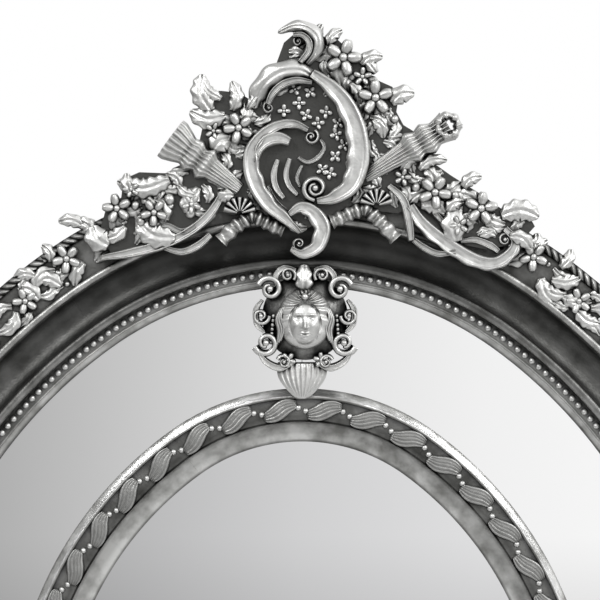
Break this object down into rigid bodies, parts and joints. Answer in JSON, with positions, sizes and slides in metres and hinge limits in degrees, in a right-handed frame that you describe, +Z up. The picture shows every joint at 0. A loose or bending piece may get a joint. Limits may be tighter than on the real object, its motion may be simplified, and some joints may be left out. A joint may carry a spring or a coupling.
{
  "type": "oval wall mirror",
  "caption": "Oval margin mirror: central mirror in an inner oval frame, a ring of margin glass, a wide moulded outer frame with carved crest, mask clasp and garland; hangs flat on a wall.",
  "frame": {"origin": "the point on the wall behind the centre of the oval, on the back board's rear face", "axes": "+Z up, the mirror faces -Y, the wall is the plane Y = 0"},
  "size_m": [1.064, 0.0763, 1.4817],
  "materials": {
    "silver_leaf": null,
    "dark_ground": "dark patinated ground between carved ornament",
    "dark_wood": "dark stained wood",
    "margin_mirror_glass": "silvered glass",
    "central_mirror_glass": "silvered glass",
    "board_wood": "plain plywood",
    "liner_felt": "thin black felt",
    "bumper_rubber": "matt",
    "hardware_steel": "zinc plated"
  },
  "bodies": {
    "mirror": {"back_board": "board_wood", "back_board_screws": "hardware_steel", "bead_moulding": "silver_leaf", "berry_moulding": "silver_leaf", "bottom_clasp_pendant": "silver_leaf", "bottom_clasp_plaque": "silver_leaf", "bottom_clasp_shell": "silver_leaf", "crest_cartouche_ribs": "silver_leaf", "crest_core": "dark_wood", "crest_drop_scroll": "silver_leaf", "crest_finial": "silver_leaf", "crest_florets": "silver_leaf", "crest_flowers": "silver_leaf", "crest_ground_plate": "dark_ground", "crest_leaf_scroll": "silver_leaf", "crest_leaves": "silver_leaf", "crest_left_scroll": "silver_leaf", "crest_mending_plates": "hardware_steel", "crest_outer_scroll": "silver_leaf", "crest_ribbons_left": "silver_leaf", "crest_ribbons_right": "silver_leaf", "crest_screws": "hardware_steel", "crest_swag_left": "silver_leaf", "crest_swag_right": "silver_leaf", "crest_top_leaf": "silver_leaf", "crest_torch_left": "silver_leaf", "crest_torch_right": "silver_leaf", "garland_left": "silver_leaf", "garland_right": "silver_leaf", "hanger_screws": "hardware_steel", "hanger_strap_left": "hardware_steel", "hanger_strap_right": "hardware_steel", "inner_frame_bottom": "silver_leaf", "inner_frame_left": "silver_leaf", "inner_frame_lower_left": "silver_leaf", "inner_frame_lower_right": "silver_leaf", "inner_frame_right": "silver_leaf", "inner_frame_top": "silver_leaf", "inner_frame_upper_left": "silver_leaf", "inner_frame_upper_right": "silver_leaf", "inner_mirror_glass": "central_mirror_glass", "inner_packing_board": "board_wood", "margin_glass_left": "margin_mirror_glass", "margin_glass_right": "margin_mirror_glass", "margin_liner": "liner_felt", "mask_head": "silver_leaf", "mask_pendant": "silver_leaf", "mask_plaque": "silver_leaf", "outer_frame_bottom": "silver_leaf", "outer_frame_left": "silver_leaf", "outer_frame_lower_left": "silver_leaf", "outer_frame_lower_right": "silver_leaf", "outer_frame_right": "silver_leaf", "outer_frame_top": "silver_leaf", "outer_frame_upper_left": "silver_leaf", "outer_frame_upper_right": "silver_leaf", "ribbon_moulding": "silver_leaf", "wall_bumpers": "bumper_rubber"},
    "ring_left": {"hanger_ring_left": "hardware_steel"},
    "ring_right": {"hanger_ring_right": "hardware_steel"}
  },
  "joints": [
    {"name": "hanger_ring_left_swing", "type": "hinge", "parent": "mirror", "child": "ring_left", "pos_m": [-0.43099, -0.00835, 0.27682], "axis": [1, 0, 0], "range_deg": [0, 175]},
    {"name": "hanger_ring_right_swing", "type": "hinge", "parent": "mirror", "child": "ring_right", "pos_m": [0.43099, -0.00835, 0.27682], "axis": [1, 0, 0], "range_deg": [0, 175]}
  ]
}
